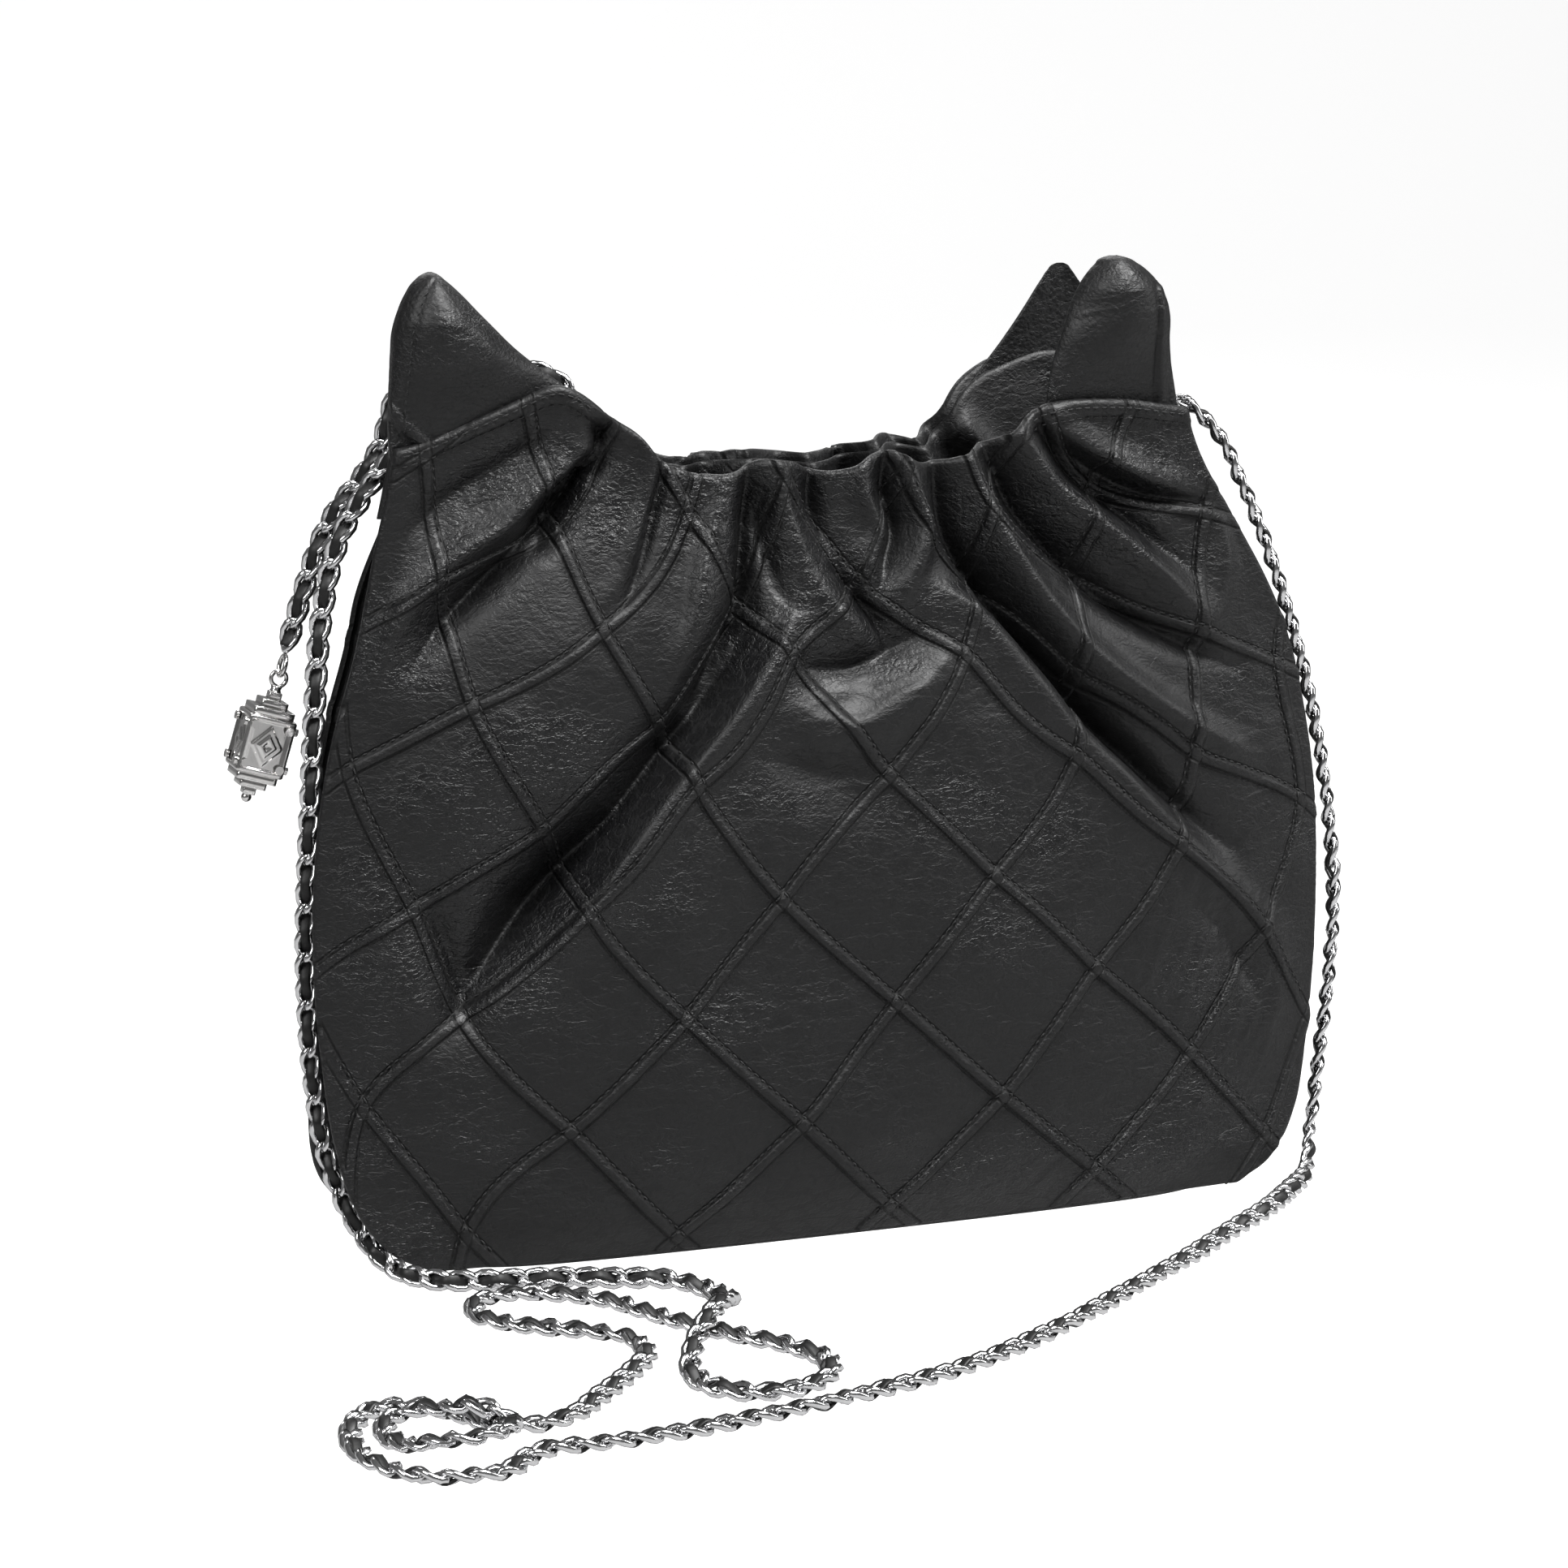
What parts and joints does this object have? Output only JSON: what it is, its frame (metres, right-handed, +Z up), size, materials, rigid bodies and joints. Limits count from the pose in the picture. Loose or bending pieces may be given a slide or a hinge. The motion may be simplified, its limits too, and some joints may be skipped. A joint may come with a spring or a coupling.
{
  "type": "gathered pouch bag",
  "caption": "Small slouchy shoulder pouch in quilted leather with a gathered mouth, peaked corners, a woven chain strap and a hanging charm.",
  "frame": {"origin": "middle of the flat base, on the surface that the bag stands on", "axes": "+Z up; +X along the width, to the right of someone who looks at the front; +Y from the front to the back. The strap on the floor, the tail of chain and the charm don't count in the origin."},
  "size_m": [0.2917, 0.194, 0.231],
  "materials": {
    "black_leather": "glossy crumpled calf",
    "ribbon_leather": "smooth satin",
    "lining_cloth": "fine ribbed weave",
    "stiff_board": "pressed fibre board",
    "elastic_webbing": "ribbed elastic",
    "snap_metal": "nickel plated",
    "zip_tape_cloth": "herringbone tape",
    "zip_metal": "nickel plated",
    "woven_chain": "polished links with a leather ribbon",
    "polished_metal": "polished"
  },
  "bodies": {
    "bag": {"front_panel": "black_leather", "back_panel": "black_leather", "left_gusset": "black_leather", "right_gusset": "black_leather", "base_panel": "black_leather", "base_board": "stiff_board", "front_lining": "lining_cloth", "back_lining": "lining_cloth", "left_lining": "lining_cloth", "right_lining": "lining_cloth", "base_lining": "lining_cloth", "front_facing": "black_leather", "back_facing": "black_leather", "front_elastic": "elastic_webbing", "back_elastic": "elastic_webbing", "front_left_ear": "black_leather", "front_right_ear": "black_leather", "back_left_ear": "black_leather", "back_right_ear": "black_leather", "left_chain_tab": "black_leather", "right_chain_tab": "black_leather", "tail_chain_tab": "black_leather", "chain_tab_rivets": "snap_metal", "snap_stud": "snap_metal", "snap_socket": "snap_metal", "snap_stud_washer": "snap_metal", "snap_socket_washer": "snap_metal", "pocket_bag": "lining_cloth", "pocket_welt": "black_leather", "zip_tape": "zip_tape_cloth", "zip_teeth": "zip_metal", "inner_patch": "black_leather", "strap_right_run": "woven_chain", "strap_coil": "woven_chain", "strap_left_run": "woven_chain", "tail_run": "woven_chain"},
    "charm_ring": {"charm_ring": "polished_metal"},
    "charm": {"charm_cap": "polished_metal", "charm_block": "polished_metal", "charm_foot": "polished_metal", "charm_studs": "polished_metal"},
    "zip_slider": {"zip_slider": "zip_metal"},
    "zip_pull": {"zip_pull": "zip_metal"}
  },
  "joints": [
    {"name": "charm_ring_swing", "type": "hinge", "parent": "bag", "child": "charm_ring", "pos_m": [-0.1283, 0.005, 0.1416], "axis": [0.9563, 0, -0.2924], "range_deg": [-3, 30]},
    {"name": "charm_swing", "type": "hinge", "parent": "charm_ring", "child": "charm", "pos_m": [-0.12938, 0.005, 0.13806], "axis": [0, 1, 0], "range_deg": [-4, 60]},
    {"name": "zip_slide", "type": "slide", "parent": "bag", "child": "zip_slider", "axis": [1, 0, 0], "range_m": [0, 0.074]},
    {"name": "zip_pull_lift", "type": "hinge", "parent": "zip_slider", "child": "zip_pull", "pos_m": [-0.037, 0.01492, 0.122], "axis": [-1, 0, 0], "range_deg": [0, 100]}
  ]
}
